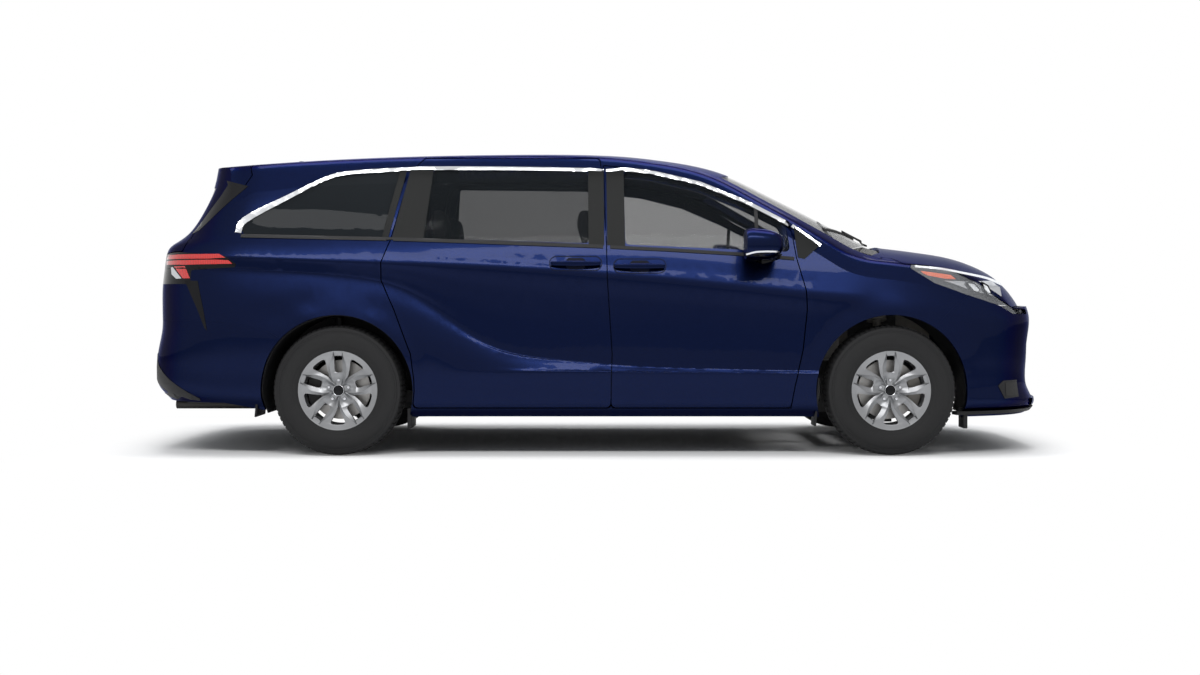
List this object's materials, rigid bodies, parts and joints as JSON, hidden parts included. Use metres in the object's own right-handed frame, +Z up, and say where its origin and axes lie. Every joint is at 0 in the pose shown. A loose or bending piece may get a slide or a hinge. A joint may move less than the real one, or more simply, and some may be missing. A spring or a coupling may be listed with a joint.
{
  "type": "minivan",
  "caption": "Three-row family van with hinged front doors, sliding side doors, an opening bonnet, a lift-up tailgate, steered front wheels and a hollow cabin.",
  "frame": {"origin": "On the ground, under the middle of the overall length and on the centre plane.", "axes": "+X towards the front, +Y to the left, +Z up."},
  "size_m": [5.1768, 2.3196, 1.7452],
  "materials": {
    "body_paint": "glossy dark blue metallic paint",
    "black_plastic": "textured black plastic",
    "grille_plastic": "dark grey satin plastic",
    "cabin_trim": "dark soft-touch trim",
    "seat_cloth": "dark woven cloth",
    "engine_metal": "plain block",
    "exhaust_steel": "dull steel",
    "underbody": "black painted steel",
    "knuckle_iron": "bare cast iron",
    "wheel_alloy": "satin silver alloy",
    "tyre": "matt black rubber",
    "lamp_clear": "clear lamp cover",
    "lamp_red": "red lamp lens",
    "glass": "tinted glass"
  },
  "bodies": {
    "root": {"cowl_panel": "black_plastic", "dashboard": "cabin_trim", "engine_block": "engine_metal", "exhaust": "exhaust_steel", "floor_pan": "underbody", "front_bumper": "body_paint", "front_grille": "grille_plastic", "front_subframe": "underbody", "fuel_tank": "black_plastic", "headlamps": "lamp_clear", "rear_axle": "underbody", "rear_bench": "seat_cloth", "rear_bumper": "body_paint", "roof_panel": "body_paint", "seats": "seat_cloth", "side_frame_left": "body_paint", "side_frame_right": "body_paint", "side_windows": "glass", "sliding_door_left": "body_paint", "sliding_door_right": "body_paint", "steering_wheel": "cabin_trim", "tail_lamps": "lamp_red", "wheel_liners": "black_plastic", "windscreen": "glass", "wing_left": "body_paint", "wing_right": "body_paint"},
    "door_right": {"front_door_right": "body_paint", "door_glass_right": "glass", "mirror_right": "body_paint"},
    "door_left": {"front_door_left": "body_paint", "door_glass_left": "glass", "mirror_left": "body_paint"},
    "hood": {"bonnet": "body_paint"},
    "gate": {"tailgate": "body_paint", "tailgate_glass": "glass", "tailgate_lamps": "lamp_red"},
    "steer_right": {"knuckle_right": "knuckle_iron"},
    "steer_left": {"knuckle_left": "knuckle_iron"},
    "wheel_front_right": {"rim_front_right": "wheel_alloy", "tyre_front_right": "tyre"},
    "wheel_front_left": {"rim_front_left": "wheel_alloy", "tyre_front_left": "tyre"},
    "wheel_rear_right": {"rim_rear_right": "wheel_alloy", "tyre_rear_right": "tyre"},
    "wheel_rear_left": {"rim_rear_left": "wheel_alloy", "tyre_rear_left": "tyre"}
  },
  "joints": [
    {"name": "door_right_hinge", "type": "hinge", "parent": "root", "child": "door_right", "pos_m": [1.04, -0.963, 0.658], "axis": [0, 0, 1], "range_deg": [0, 65]},
    {"name": "door_left_hinge", "type": "hinge", "parent": "root", "child": "door_left", "pos_m": [1.04, 0.963, 0.658], "axis": [0, 0, -1], "range_deg": [0, 65]},
    {"name": "bonnet_hinge", "type": "hinge", "parent": "root", "child": "hood", "pos_m": [1.54, 0, 1.105], "axis": [0, -1, 0], "range_deg": [0, 50]},
    {"name": "tailgate_hinge", "type": "hinge", "parent": "root", "child": "gate", "pos_m": [-1.9852, 0, 1.676], "axis": [0, 1, 0], "range_deg": [0, 80]},
    {"name": "steer_right_pivot", "type": "hinge", "parent": "root", "child": "steer_right", "pos_m": [1.6306, -0.8, 0.2], "axis": [-0.0511, 0.2556, 0.9654], "range_deg": [-35, 35]},
    {"name": "steer_left_pivot", "type": "hinge", "parent": "root", "child": "steer_left", "pos_m": [1.6306, 0.8, 0.2], "axis": [-0.0511, -0.2556, 0.9654], "range_deg": [-35, 35]},
    {"name": "wheel_front_right_spin", "type": "hinge", "parent": "steer_right", "child": "wheel_front_right", "pos_m": [1.622, -0.865, 0.362], "axis": [0, 1, 0], "continuous": true},
    {"name": "wheel_front_left_spin", "type": "hinge", "parent": "steer_left", "child": "wheel_front_left", "pos_m": [1.622, 0.865, 0.362], "axis": [0, 1, 0], "continuous": true},
    {"name": "wheel_rear_right_spin", "type": "hinge", "parent": "root", "child": "wheel_rear_right", "pos_m": [-1.438, -0.865, 0.362], "axis": [0, 1, 0], "continuous": true},
    {"name": "wheel_rear_left_spin", "type": "hinge", "parent": "root", "child": "wheel_rear_left", "pos_m": [-1.438, 0.865, 0.362], "axis": [0, 1, 0], "continuous": true}
  ],
  "couplings": [
    {"joint": "steer_left_pivot", "follows": "steer_right_pivot", "ratio": 1}
  ]
}
